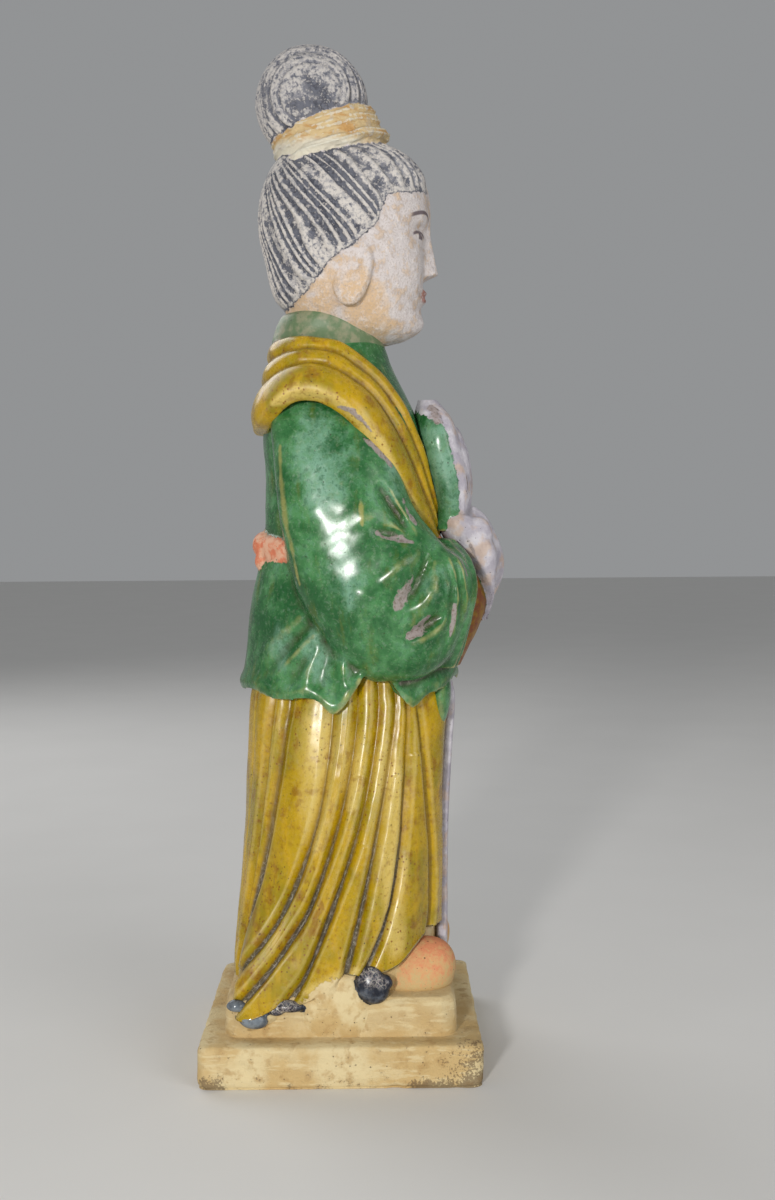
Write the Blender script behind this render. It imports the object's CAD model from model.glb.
"""Looks of a glazed earthenware tomb attendant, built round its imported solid.

The forms are surfaces worked out with numpy on a grid of two parameters, in parts: the figure is
250 parts tall, counted up from the step of its plinth. The forms of one piece are fused by a voxel
remesh, as clay is, and each point remembers which form it came from, so that the glazes can meet
there. The skirt and the plinth keep their own grids. Everything is then in metres, in the frame of
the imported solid: +Z up, the figure faces -Y.
"""

import math

import bmesh
import bpy
import numpy as np
from mathutils import Euler, Matrix, Vector


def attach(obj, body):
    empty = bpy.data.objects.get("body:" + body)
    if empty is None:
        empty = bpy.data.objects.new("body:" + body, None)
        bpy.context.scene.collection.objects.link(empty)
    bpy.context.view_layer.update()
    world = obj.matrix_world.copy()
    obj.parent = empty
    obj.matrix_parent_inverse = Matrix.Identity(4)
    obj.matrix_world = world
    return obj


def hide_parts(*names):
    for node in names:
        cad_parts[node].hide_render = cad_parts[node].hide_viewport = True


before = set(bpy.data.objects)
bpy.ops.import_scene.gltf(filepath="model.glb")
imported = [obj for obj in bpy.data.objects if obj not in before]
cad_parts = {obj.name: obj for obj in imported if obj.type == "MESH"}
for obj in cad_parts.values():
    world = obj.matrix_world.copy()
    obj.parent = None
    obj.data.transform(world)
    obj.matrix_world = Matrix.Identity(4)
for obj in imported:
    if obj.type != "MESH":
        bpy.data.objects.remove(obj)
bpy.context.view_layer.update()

bl_info = {
    "name": "Glazed tomb attendant",
    "version": (1, 0, 0),
    "blender": (4, 5, 0),
    "location": "3D View > Sidebar > Attendant",
    "description": "Builds the looks of a glazed earthenware tomb attendant on its plinth",
    "category": "Object",
}

NODE = "tomb_attendant_figure"
BODY = "root"
MM = 0.001
STEP_TOP = 21.2
FULL_TURN = 2 * math.pi


# ---------------------------------------------------------------- surfaces


def stations(table, place):
    """Smooth curve through rows [place, value, ...]: a cubic between two rows, whose slope at each
    row is the slope between that row's neighbours. Gives one array for each value."""
    table = np.asarray(table, float)
    keys, values = table[:, 0], table[:, 1:]
    place = np.asarray(place, float)
    last = len(keys) - 1
    upper = np.clip(np.searchsorted(keys, place), 1, last)
    lower = upper - 1
    before, after = np.maximum(lower - 1, 0), np.minimum(upper + 1, last)
    span = (keys[upper] - keys[lower])[..., None]
    t = np.clip((place - keys[lower])[..., None] / span, 0, 1)
    slope_in = (values[upper] - values[before]) / (keys[upper] - keys[before])[..., None] * span
    slope_out = (values[after] - values[lower]) / (keys[after] - keys[lower])[..., None] * span
    rise = values[upper] - values[lower]
    bend = slope_in + slope_out - 2 * rise
    curve = values[lower] + t * (slope_in + t * (3 * rise - 2 * slope_in - slope_out + t * bend))
    return tuple(np.moveaxis(curve, -1, 0))


def rounded_square(angle, power):
    """Cosine and sine of a superellipse: power 2 is an ellipse, more is boxier."""
    cosine, sine = np.cos(angle), np.sin(angle)
    return (
        np.sign(cosine) * np.abs(cosine) ** (2 / power),
        np.sign(sine) * np.abs(sine) ** (2 / power),
    )


def bell(distance, width):
    """Bell curve of height 1: e to the minus square of distance over width."""
    return np.exp(-((distance / width) ** 2))


def way(value, low, high):
    """How far a value has come from low to high, held between 0 and 1."""
    return np.clip((value - low) / (high - low), 0, 1)


def smooth_step(value, low, high):
    """0 below low, 1 above high, and a smooth cubic between."""
    t = way(value, low, high)
    return t * t * (3 - 2 * t)


def mix(a, b, share):
    """a where share is 0, b where it is 1."""
    return a + (b - a) * share


def from_front(turn):
    """Angle from the front in degrees, 0 to 180 on either side, of a turn by the right side."""
    degrees = np.degrees(turn) % 360
    return np.minimum(degrees, 360 - degrees)


def latitude(t):
    """Cosine and sine of the latitude of ring t of a ball, whose end rings stop just short of the
    poles."""
    lean = (t - 0.5) * 0.98 * np.pi
    return np.cos(lean), np.sin(lean)


def tilted(x, y, z, angle):
    """Point turned about the left-right axis; a positive angle leans its top back."""
    return x, y * np.cos(angle) + z * np.sin(angle), z * np.cos(angle) - y * np.sin(angle)


def nearest_on_line(point, line):
    """Distance from each point to a line of points, by its nearest place on each stretch, and how
    far along the line that place is, from 0 to 1."""
    line = np.asarray(line, float)
    nearest = np.full(point.shape[:-1], np.inf)
    share = np.zeros(point.shape[:-1])
    stretches = len(line) - 1
    for index, (start, end) in enumerate(zip(line[:-1], line[1:])):
        run = end - start
        along = np.clip(((point - start) @ run) / (run @ run), 0, 1)
        distance = np.linalg.norm(point - start - along[..., None] * run, axis=-1)
        share = np.where(distance < nearest, (index + along) / stretches, share)
        nearest = np.minimum(nearest, distance)
    return nearest, share


def carved(point, strokes):
    """Sum of a modelling tool's strokes [depth, width, line]: a bell of the distance to each line,
    that gets shallower towards the line's ends."""
    total = 0
    for depth, width, line in strokes:
        distance, share = nearest_on_line(point, line)
        total = total + depth * (0.35 + 0.65 * np.sin(share * np.pi)) * bell(distance, width)
    return total


def ripple(point, size, seed):
    """Soft unevenness from -1 to 1: the mean of twelve sines that run in scattered directions."""
    scatter = np.random.default_rng(seed)
    waves = scatter.normal(size=(12, 3))
    steepness = FULL_TURN / size / np.linalg.norm(waves, axis=1)
    waves *= steepness[:, None] * scatter.uniform(0.6, 1.5, (12, 1))
    return np.sin(point @ waves.T + scatter.uniform(0, FULL_TURN, 12)).mean(-1) * 2.2


def around(sections, height, angle, swell=0):
    """X and y at an angle from the front of an ellipse, stretched outwards by a swell. The sections
    give its half width, its front and its back at a height."""
    half, front, back = stations(sections, height)
    x = -(half + swell) * np.sin(angle)
    return x, (front + back) / 2 - ((back - front) / 2 + swell) * np.cos(angle)


def stacked(*values):
    """Points whose coordinates are these values, spread over one grid."""
    return np.stack(np.broadcast_arrays(*values), -1)


class Form:
    """Closed grid of points in parts, rows by columns, with the share of each zone that it is glazed
    or painted as, for the whole grid or for each of its points."""

    def __init__(self, grid, zone, is_loop=False):
        self.grid, self.is_loop = grid, is_loop
        self.zones = {zone: 1.0}


def ring_form(zone, columns, rings, shape):
    """Closed surface of rings. shape(turn, t) gives x, y and height, and whatever else the form
    holds, on a grid of turn, once round, by t, 0 to 1. Both end rings close on their middle."""
    turn = np.linspace(0, FULL_TURN, columns, endpoint=False)[None, :]
    t = np.linspace(0, 1, rings)[:, None]
    grid = stacked(*shape(turn, t))
    foot = np.broadcast_to(grid[0].mean(0), grid[:1].shape)
    head = np.broadcast_to(grid[-1].mean(0), grid[:1].shape)
    return Form(np.concatenate([foot, grid, head]), zone)


def loop_form(zone, columns, sides, shape):
    """Closed ring of sections. shape(turn, section) repeats after a full turn in both."""
    turn = np.linspace(0, FULL_TURN, columns, endpoint=False)[None, :]
    section = np.linspace(0, FULL_TURN, sides, endpoint=False)[:, None]
    return Form(stacked(*shape(turn, section)), zone, True)


def ringed(*of_form):
    """Makes shape(turn, t, ...) a function of the rest of its values that gives its ring_form."""
    return lambda shape: lambda *rest: ring_form(*of_form, lambda *grid: shape(*grid, *rest))


def looped(*of_form):
    """Makes shape(turn, section) a function that gives its loop_form."""
    return lambda shape: lambda: loop_form(*of_form, shape)


def section_form(zone, columns, rings, sections, power, side=1, fold=None):
    """Upright form from sections of height, half width, front, back and, if not 0, its middle: each
    ring is a superellipse between front and back. A fold is added in front."""
    first, last = sections[0][0], sections[-1][0]

    def shape(turn, t):
        height = mix(first, last, t)
        half, front, back, *middle = stations(sections, height)
        across, out = rounded_square(turn, power)
        y = (front + back) / 2 - (back - front) / 2 * out
        if fold is not None:
            y = y - fold(across, out, height)
        return side * ((middle[0] if middle else 0) + half * across), y, height

    return ring_form(zone, columns, rings, shape)


# ------------------------------------------------------------------- skirt

SKIRT_TOP, PLEAT_TOP, FOOTING = 86, 75, 3
SKIRT_UNDERSIDE = 0.04  # share of the rings that lie under the hem
CORNER_ANGLE, CORNER_WIDTH = 131, 14  # where it swings out over the back corner of the step
FADE_ANGLE, LIP_ANGLE, FADE_WIDTH = 99, 97, 9  # where it fades into the clay
# Sections: height, half width, front and back; for a sleeve its outer and inner side, front, back
# and power; for a cuff also its middle. Folds: depth and width of each stroke, then its line
SKIRT_SECTIONS = [
    [-3, 31, -27.5, 30],
    [3, 31, -28, 30.2],
    [17, 30.4, -28.2, 28.9],
    [45, 29.3, -28.8, 26.4],
    [62, 27.9, -29.8, 25.6],
    [75, 26, -30.6, 24.9],
    [86, 23.6, -28, 22],
]
# Grooves between pleats: angle at the waist, even drift, sweep, how late the sweep comes
PLEATS = np.array([
    [9, 0, 0, 1],
    [50, -36, 16, 4],
    [56, -8, 28, 3.5],
    [63, 0, 22, 1.5],
    [73, 5, 37, 2.4],
    [85, 3, 50, 2.4],
    [99, 0, 53, 2.2],
    [127, 25, 5, 4],
    [139, 15, 8, 4],
    [160, 9, 0, 1],
])
LEFT_SWEEP = 0.88
PLEAT_COLUMNS, SKIRT_RINGS = 20, 200
FOOTING_SECTIONS = [[-3.5, 26.4, -14, 26], [3, 26, -14, 26], [7, 25.4, -14, 25], [12, 24, -13, 24]]
# Angle from the front and height
SKIRT_HEM = [
    [0, 13.4], [27, 14], [43, 11], [60, 6.2], [72, 5.2], [81, 5.8], [87, 5.4],
    [95, 2.8], [107, -1.8], [116, -1.8], [128, -5.6], [138, -4.4], [150, -1.8], [180, -1.5],
]


def groove_angles(height):
    """Angles of all grooves between pleats at each height, one row for each: angle at the waist plus
    even drift plus a sweep that comes late."""
    fall = np.clip(1 - height / PLEAT_TOP, 0, 1)
    waist, drift, sweep, late = PLEATS.T

    def side(share):
        return waist + share * (drift * fall + sweep * fall**late)

    return np.concatenate([side(1), 360 - side(LEFT_SWEEP)[..., ::-1]], -1)


def skirt():
    """Flared tube: a superellipse that follows the sections, with a round ridge between each two
    grooves, a deeper stroke along each groove towards the hem and a thin ridge beside it. It swings
    out to the back corners of the step. Below the hem it turns in under itself, but for a stretch of
    each side where it fades into the clay. Its columns follow the grooves and stand closer beside
    them."""
    pleats = 2 * len(PLEATS)

    def shape(turn, t):
        climb = way(t, SKIRT_UNDERSIDE, 1)
        grooves = groove_angles(climb * SKIRT_TOP)
        grooves = np.concatenate([grooves, grooves[:, :1] + 360], 1)
        phase = turn / FULL_TURN * pleats
        pleat = np.minimum(phase.astype(int), pleats - 1)
        across = phase - pleat
        across = across - 0.6 * np.sin(FULL_TURN * across) / FULL_TURN
        start, end = grooves[:, pleat[0]], grooves[:, pleat[0] + 1]
        degrees = mix(start, end, across)
        angle = np.radians(degrees)
        (hem,) = stations(SKIRT_HEM, from_front(angle))
        under = np.clip(1 - t / SKIRT_UNDERSIDE, 0, 1)
        lip = 1 - bell(from_front(angle) - LIP_ANGLE, FADE_WIDTH)
        height = mix(hem, SKIRT_TOP, climb) + 0.8 * lip * np.sin(under * np.pi) * (under < 1)
        footing = np.minimum(hem, 0) - FOOTING
        height = np.where(under > 0.9, footing, mix(height, footing, (1 - lip) * under))
        width = (end - start) * 0.5
        low = 1 - smooth_step(height, 15, 70)
        depth = np.minimum(1.9, width * 0.26)
        ridge = np.abs(4 * across * (1 - across)) ** mix(1.25, 0.6, low)
        from_groove = width * np.minimum(across, 1 - across)
        swell = depth * (ridge - 1) - mix(0, 0.9, low) * bell(from_groove, 1.1)
        swell = swell + 0.4 * bell(from_groove - 2.4, 1.1) * (width > 6)
        corner = bell(from_front(angle) - CORNER_ANGLE, CORNER_WIDTH)
        swell = swell + 9.6 * corner * (1 - smooth_step(height, -4, 32))
        swell = swell - 2.2 * lip * smooth_step(under, 0, 0.5)
        x, y = around(SKIRT_SECTIONS, height, angle, swell)
        hollow = mix(1.9, 2.8, low) * bell(from_groove, mix(0.7, 0.84, low))
        hollow = hollow - bell(from_groove - 2.2, 0.9)
        fade = bell(from_front(angle) - FADE_ANGLE, FADE_WIDTH)
        fade = fade * (1 - smooth_step(height, hem + 0.5, hem + 5))
        return x, y, height, hollow + 0 * x, np.maximum(fade, under > 0)

    form = ring_form("amber", pleats * PLEAT_COLUMNS, SKIRT_RINGS, shape)
    hollow, clay = form.grid[..., 3], form.grid[..., 4]
    form.zones = {"amber": 1 - clay, "clay": clay, "narrow_hollow": hollow}
    form.grid = form.grid[..., :3]
    return form


RIBBON_FOOT, RIBBON_TOP = 5.5, 84


@ringed("slip", 60, 120)
def ribbon(turn, t):
    """Narrow band down the middle of the skirt's front, that follows its sections."""
    height = mix(RIBBON_FOOT, RIBBON_TOP, t)
    _, front, _ = stations(SKIRT_SECTIONS, height)
    across, out = rounded_square(turn, 3)
    wave = np.sin(height / 7)
    return across * (4.2 + 0.2 * wave), front + 0.6 - out * (1.6 + 0.1 * wave), height


SHOE_X, SHOE_Y, SHOE_HEIGHT = 15.2, -18.9, 1


@ringed("shoe", 90, 60)
def shoe(turn, t, side):
    """Upturned toe: a ball drawn out forwards, taller above than below."""
    reach, level = latitude(t)
    forward = np.cos(turn)
    length = (13.4 - 2.2 * np.maximum(forward, 0)) * reach**0.9
    return (
        side * SHOE_X + 9.2 * reach**0.9 * np.sin(turn),
        SHOE_Y - length * forward - 3.4 * np.maximum(level, 0),
        SHOE_HEIGHT + level * np.where(level > 0, 10.7, 4),
    )


def ball(zone, centre, half, power=2, columns=64, rings=40):
    """Ball with its own half size along each axis; its plan is a superellipse."""

    def shape(turn, t):
        reach, level = latitude(t)
        across, out = rounded_square(turn, power)
        return (
            centre[0] + half[0] * reach * across,
            centre[1] + half[1] * reach * out,
            centre[2] + half[2] * level,
        )

    return ring_form(zone, columns, rings, shape)


@ringed("drop", 64, 44)
def drop(turn, t, centre, half, lean=0.0):
    """Hanging drop of glaze: a ball, fuller below than above, whose top leans back along the
    skirt."""
    reach, level = latitude(t)
    reach = reach * mix(1, 0.88, smooth_step(level, -0.2, 1))
    return (
        centre[0] + half[0] * reach * np.cos(turn),
        centre[1] + half[1] * reach * np.sin(turn) + lean * level,
        centre[2] + half[2] * level * np.where(level > 0, 1.15, 1),
    )


def foot_forms():
    return [
        section_form("clay", 200, 40, FOOTING_SECTIONS, 2.2),
        ribbon(),
        shoe(-1),
        shoe(1),
        ball("clay", (-22.6, 1.4, -4), (7.9, 11.5, 13), 3),
        ball("clay", (22.6, 1.4, -4), (7.9, 11.5, 13), 3),
        drop((-28.2, -8.2, 2.6), (3, 4.7, 4.8), 0.6),
        drop((-27.6, -11.6, 3.4), (2.2, 2.2, 2)),
        drop((-29, 13.4, -2.2), (2.2, 4.4, 1.6), 0.8),
        drop((-29, 17, -3), (2, 2.4, 1.6), 0.6),
        drop((-30, 22.4, -5.4), (2, 3.8, 2.4), 0.4),
        drop((-28.8, 26.8, -2), (1.9, 2.8, 1.6), 0.2),
        ball("green", (-9, -27, 78), (6, 3, 10)),
    ]


# ---------------------------------------------------------------- garments

JACKET_SECTIONS = [
    [72, 28.6, -31.6, 26.6],
    [79, 28.6, -31.8, 26.7],
    [88, 27.6, -31, 25.7],
    [101, 26, -29.5, 24.5],
    [110, 24.6, -28, 22.4],
    [118, 23.8, -27, 20.6],
    [128, 24, -26.3, 20.1],
    [136, 24.6, -25.2, 20.2],
    [144, 25, -23.4, 20.7],
    [152, 24.6, -21, 20.6],
    [159, 21, -17.6, 19.2],
    [165, 16.5, -14.6, 17.6],
    [171, 13, -12.6, 15.2],
]
JACKET_TOP, JACKET_HEM = 171, 77.6
JACKET_UNDERSIDE = 0.05  # share of the rings that turn in under the hem
SASH_HEIGHT = 115.2
# Angle from the front, width and rise
HEM_SCALLOPS = [
    [12, 16, 3], [55, 8, -3.4], [76, 9, 8], [97, 7.5, -4.4], [126, 12, -1.4], [150, 9, 0.8],
]
PEPLUM_FOLDS = [
    [0.9, 2, [[47.7, 103], [56, 95], [66, 87]]],
    [-1.1, 1.3, [[47, 99], [55, 91.5], [63, 83]]],
    [0.9, 1.3, [[46.6, 96], [53, 89], [59.5, 82]]],
    [-1, 1.2, [[46.4, 93.5], [50.6, 87], [55, 81]]],
    [1.3, 1.8, [[45.6, 97], [48.6, 89], [50.6, 80]]],
    [-1.1, 2.4, [[44.5, 93], [46.6, 85], [47.4, 78]]],
    [1.2, 1.5, [[43.8, 95], [41.5, 87], [41, 77]]],
]
SLEEVE_SECTIONS = [
    [81.4, 27.5, 20, -20, -9, 2],
    [83, 30, 15, -24, -5, 2.1],
    [85.6, 32, 10, -27.6, -1.4, 2.2],
    [89, 33.6, 7, -30.4, 2.4, 2.3],
    [97, 34.6, 6, -33.6, 7.4, 2.5],
    [105, 34.8, 6, -35.4, 11, 2.6],
    [112, 34.3, 6, -33.6, 12.8, 2.7],
    [117, 33.7, 6, -27.6, 13.8, 2.7],
    [127, 32.4, 7, -20, 15.4, 2.7],
    [140, 29.6, 8, -14.8, 16.8, 2.6],
    [149, 26.6, 9, -9.6, 17.2, 2.4],
    [155, 23, 10, -5, 15, 2.2],
]
SLEEVE_FOLDS = [
    [-2, 1.2, [[-10.1, 120.6], [-12.6, 119.8], [-15.3, 119.2], [-19.6, 117.8]]],
    [-3.4, 1.1, [[-11.6, 131], [-14.1, 126.6], [-16.1, 123.5], [-18.4, 119.8]]],
    [-1.1, 2.4, [[-16, 132], [-18.4, 126], [-20.4, 120.6]]],
    [0.9, 4.6, [[-4, 128], [-8, 124], [-9, 122]]],
    [-2.8, 1.7, [[-16.6, 102.2], [-19.6, 105.4], [-21.8, 110], [-23.6, 115.6]]],
    [1.1, 2.4, [[-11, 107], [-15.6, 111.6], [-19.6, 114.6]]],
    [-2.4, 1.3, [[-18.2, 94], [-22.4, 96.4], [-26.8, 99.4]]],
    [-1.6, 0.9, [[-27, 115], [-29.6, 107], [-29, 98], [-26.6, 88]]],
    [1.2, 4.5, [[-12, 100], [-6, 104], [-4, 96]]],
    [1.4, 2, [[-21.5, 100.5], [-25, 105.6], [-26.4, 111]]],
    [0.9, 1.6, [[-20, 91.6], [-24.6, 94.2], [-28, 97]]],
    [-0.8, 1.4, [[-24.4, 118], [-26.4, 112], [-26.6, 106]]],
    [-1.6, 0.8, [[-28.6, 116], [-31, 110], [-32.2, 103], [-31.4, 95]]],
    [-1.4, 0.7, [[-31, 115.6], [-33.4, 110.4], [-34.2, 104]]],
]


@ringed("green", 420, 240)
def jacket(turn, t):
    """Tube that follows the sections, with folds below the elbows and a wavy hem turned in."""
    degrees = from_front(turn)
    scallops = [rise * bell(degrees - angle, width) for angle, width, rise in HEM_SCALLOPS]
    hem = JACKET_HEM + sum(scallops)
    under = np.clip(1 - t / JACKET_UNDERSIDE, 0, 1)
    climb = way(t, JACKET_UNDERSIDE, 1)
    height = mix(hem, JACKET_TOP, climb) + 1.5 * under
    round_jacket = stacked(degrees * 0.45, height)
    swell = carved(round_jacket, PEPLUM_FOLDS) * (under == 0) - 3 * under**2
    swell = swell + 0.9 * bell(height - hem - 2.2, 2.2) * (under == 0)
    return *around(JACKET_SECTIONS, height, turn, swell), height


@looped("coral", 300, 24)
def sash(turn, section):
    """Band round the waist: an oval section carried round the jacket."""
    out = (1.4 + 0.35 * np.sin(3 * section) + 0.2 * np.sin(7 * turn)) * np.cos(section)
    rise = (3.3 + 0.3 * np.sin(8 * turn)) * np.sin(section)
    height = SASH_HEIGHT + 0.5 * np.sin(5 * turn) + rise
    return *around(JACKET_SECTIONS, SASH_HEIGHT, turn, out), height


@ringed("green", 320, 240)
def sleeve(turn, t, side):
    """Wide sleeve: a superellipse that follows its sections, with the strokes of a tool on its outer
    side."""
    height = mix(SLEEVE_SECTIONS[0][0], SLEEVE_SECTIONS[-1][0], t)
    outer, inner, front, back, power = stations(SLEEVE_SECTIONS, height)
    out, ahead = rounded_square(turn, power)
    y = (front + back) / 2 - ahead * (back - front) / 2
    fold = carved(stacked(y, height), SLEEVE_FOLDS) * smooth_step(out, 0, 0.5)
    return side * ((outer + inner) / 2 + out * (outer - inner) / 2 + fold), y, height


CUFF_SECTIONS = [
    [84, 5, -31, -24, 14],
    [90, 8, -33, -24, 17],
    [98, 9.4, -35, -24, 18.4],
    [106, 9.6, -36.4, -25, 18.8],
    [113, 8, -34.8, -25, 16.4],
    [118, 4, -30.5, -25, 12],
]
INNER_SLEEVE_SECTIONS = [
    [83, 4, -33, -26],
    [88, 9, -35.4, -26],
    [94, 11, -38.4, -26],
    [101, 11.5, -40.4, -26],
    [108, 10, -39.4, -26],
]
CLOTH_SECTIONS = [
    [95, 1, -40.2, -37.6],
    [99, 3.4, -41.4, -37.2],
    [104, 7, -43.2, -36.6],
    [109, 9.6, -44.2, -35],
    [115, 11.4, -44.2, -30],
    [120, 11.6, -42.2, -27],
    [124, 10, -39, -26],
    [126.6, 6, -35.6, -28],
]
OBJECT_SECTIONS = [
    [120, 9, -36, -25],
    [127, 10.4, -36.2, -25.6],
    [133, 11.6, -36.4, -24.2],
    [140, 12, -35, -22],
    [147, 11.4, -32.8, -20.9],
    [152, 9, -30.2, -20.5],
    [155.6, 4.6, -27.2, -21.4],
]


def cuff_fold(across, out, height):
    """Upright folds round the front of the small cuff: a wave across it that leans with the
    height."""
    return 0.6 * np.cos(across * 9 + height / 7) * np.maximum(out, 0)


def cloth_fold(across, out, height):
    """Upright folds in front of the hands: a wave across the cloth, and a softer one up it."""
    folds = 0.8 * np.cos(across * 6 + height / 9) + 0.5 * np.sin(height / 2.4 + 3 * across)
    return folds * np.maximum(out, 0)


def object_dent(across, out, height):
    """Dent that sets the front of the held object off from its sides: a bell round 0.45 of its
    depth."""
    return -0.55 * bell(out - 0.45, 0.12) * (np.abs(across) > 0.3)


LOBE_Y, LOBE_HEIGHT, LOBE_HALF_HEIGHT, LOBE_LEAN = -33.4, 138, 10.6, 0.16


@ringed("slip", 90, 60)
def held_lobe(turn, t):
    """Raised lobe on the front of the held object: a ball that leans forward towards its foot."""
    reach, level = latitude(t)
    return (
        8.4 * reach * np.sin(turn),
        LOBE_Y - 2.9 * reach * np.cos(turn) + LOBE_LEAN * LOBE_HALF_HEIGHT * level,
        LOBE_HEIGHT + LOBE_HALF_HEIGHT * level,
    )


# Share of the way from the front to the back; x, y and height of the neck edge and the outer edge
SHAWL_EDGES = [
    [0, 0, -27, 117.5, 0, -26.6, 110],
    [0.05, -2.4, -26.6, 121, -8.6, -24.4, 116.6],
    [0.12, -5, -26, 128, -15.4, -21.8, 122.8],
    [0.28, -9.6, -21.6, 145, -24.6, -14.2, 136.2],
    [0.44, -13.4, -13.6, 159.5, -28.6, -6.6, 148.4],
    [0.6, -15.6, -2, 169.2, -29.6, 2.4, 154.4],
    [0.7, -15.2, 5, 171, -29, 9.6, 155.4],
    [0.78, -13.6, 10.2, 171.4, -26.8, 15.8, 152.6],
    [0.88, -8.6, 15.4, 171, -17.6, 20.8, 147.6],
    [1, 0, 17.2, 170.6, 0, 22.4, 146],
]
SHAWL_TOP_SHARE = 0.78  # share of each section that lies on top of the band
# Where each roll starts and ends across the band, and how far it stands out
SHAWL_ROLLS = [[0, 0.24, 1.9], [0.24, 0.5, 2.1], [0.5, 1, 2.6]]


@looped("amber", 560, 110)
def shawl(turn, section):
    """Band of three rolls round the neck. Across it runs the straight line from its neck edge to its
    outer edge, and each roll stands out of that line by half an ellipse."""
    place = np.where(turn <= np.pi, turn / np.pi, 2 - turn / np.pi)
    side = np.where(turn <= np.pi, 1.0, -1.0)[..., None]

    def read(where):
        edges = np.stack(stations(SHAWL_EDGES, np.clip(where, 0, 1)), -1)
        flip = np.concatenate([side, np.ones_like(side), np.ones_like(side)], -1)
        return edges[..., :3] * flip, edges[..., 3:] * flip

    neck, edge = read(place)
    behind, ahead = read(place - 0.03), read(place + 0.03)
    run = ahead[0] + ahead[1] - behind[0] - behind[1]
    outward = np.cross(edge - neck, run) * -side
    outward /= np.linalg.norm(outward, axis=-1, keepdims=True)
    share = section / FULL_TURN
    across = way(share, 0, SHAWL_TOP_SHARE)
    swell = -0.4 * np.ones_like(across)
    for start, end, proud in SHAWL_ROLLS:
        inside = way(across, start, end)
        swell = swell + proud * np.sqrt(4 * inside * (1 - inside))
    under = way(share, SHAWL_TOP_SHARE, 1)
    is_under = share > SHAWL_TOP_SHARE
    across = np.where(is_under, 1 - smooth_step(under, 0.2, 0.8), across)[..., None]
    swell = np.where(is_under, -4 * np.minimum(1, 4 * np.minimum(under, 1 - under)), swell)
    point = neck + (edge - neck) * across + outward * swell[..., None]
    return tuple(np.moveaxis(point, -1, 0))


COLLAR_FOOT, COLLAR_FRONT, COLLAR_BACK = 156, 176.6, 180
COLLAR_SECTIONS = [
    [156, 15, -17, 18.6],
    [163, 15, -14.6, 18.2],
    [169, 14.2, -13.2, 18],
    [173, 13, -12.4, 17.4],
    [178, 12.2, -11.6, 15.2],
    [180, 10, -9, 12],
]


@ringed("dusty", 200, 90)
def collar(turn, t):
    """Standing band round the neck, higher behind than in front."""
    top = mix(COLLAR_BACK, COLLAR_FRONT, (1 + np.cos(turn)) / 2)
    height = mix(COLLAR_FOOT, top, t)
    return *around(COLLAR_SECTIONS, height, turn), height


def coat_forms():
    return [
        jacket(),
        sash(),
        ball("coral", (-3.4, 19.3, 116.4), (7, 4.4, 4.2)),
        ball("coral", (3.4, 19.3, 116), (7, 4.2, 4.4)),
        ball("coral", (-6.2, 19, 112.4), (4, 3.8, 3.8)),
        ball("coral", (5, 19, 112), (4.6, 3.8, 3.6)),
        sleeve(-1),
        sleeve(1),
        section_form("green", 160, 120, CUFF_SECTIONS, 2.2, -1, cuff_fold),
        section_form("green", 160, 120, CUFF_SECTIONS, 2.2, 1, cuff_fold),
    ]


def held_object():
    """Upright object: green on both sides, bare slip round its front and its top."""
    form = section_form("green", 140, 120, OBJECT_SECTIONS, 2.5, fold=object_dent)
    height = form.grid[..., 2]
    _, front, back = stations(OBJECT_SECTIONS, height)
    ahead = ((front + back) / 2 - form.grid[..., 1]) / ((back - front) / 2)
    slip = np.maximum(smooth_step(ahead, 0.05, 0.6), smooth_step(height + 3 * ahead, 146, 152))
    form.zones = {"green": 1 - slip, "slip": slip}
    return form


def held_forms():
    return [
        section_form("russet", 120, 90, INNER_SLEEVE_SECTIONS, 2.3),
        section_form("slip", 160, 120, CLOTH_SECTIONS, 2.2, fold=cloth_fold),
        ball("slip", (-7.4, -36.6, 119), (4, 5, 5)),
        ball("slip", (7.4, -36.6, 119), (4, 5, 5)),
        held_object(),
        held_lobe(),
    ]


def shawl_forms():
    return [shawl(), collar()]


# -------------------------------------------------------------------- head

HEAD_TOP, CROWN, CHIN = 223, 224, 172.5
HEAD_CENTRE = np.array([0, -1.6, 198])
EYES = (CROWN + CHIN) / 2
BROWS = EYES + 4.8
NOSE = (BROWS + CHIN) / 2 + 0.6
MOUTH = NOSE - (NOSE - CHIN) / 3
EYE_SPACING = 7.2
HEAD_POWER = 2.15
HEAD_SECTIONS = [
    [170.2, 4, -14, 0],
    [171.6, 7.4, -18.6, 4],
    [174, 11, -21.6, 9],
    [179, 14.4, -22.6, 13.6],
    [185, 17, -23.2, 16.6],
    [192, 18.3, -23.8, 18.2],
    [199, 18.6, -24.4, 19.8],
    [206, 18.4, -24.9, 20],
    [213, 16.9, -23.6, 18.4],
    [219, 13.2, -19.4, 14.6],
    [223, 7.4, -12.4, 9],
]
NECK_SECTIONS = [
    [150, 11, -11, 12], [164, 10.6, -10.6, 13.4], [172, 10.8, -9.6, 14], [182, 12, -8, 14],
]


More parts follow.
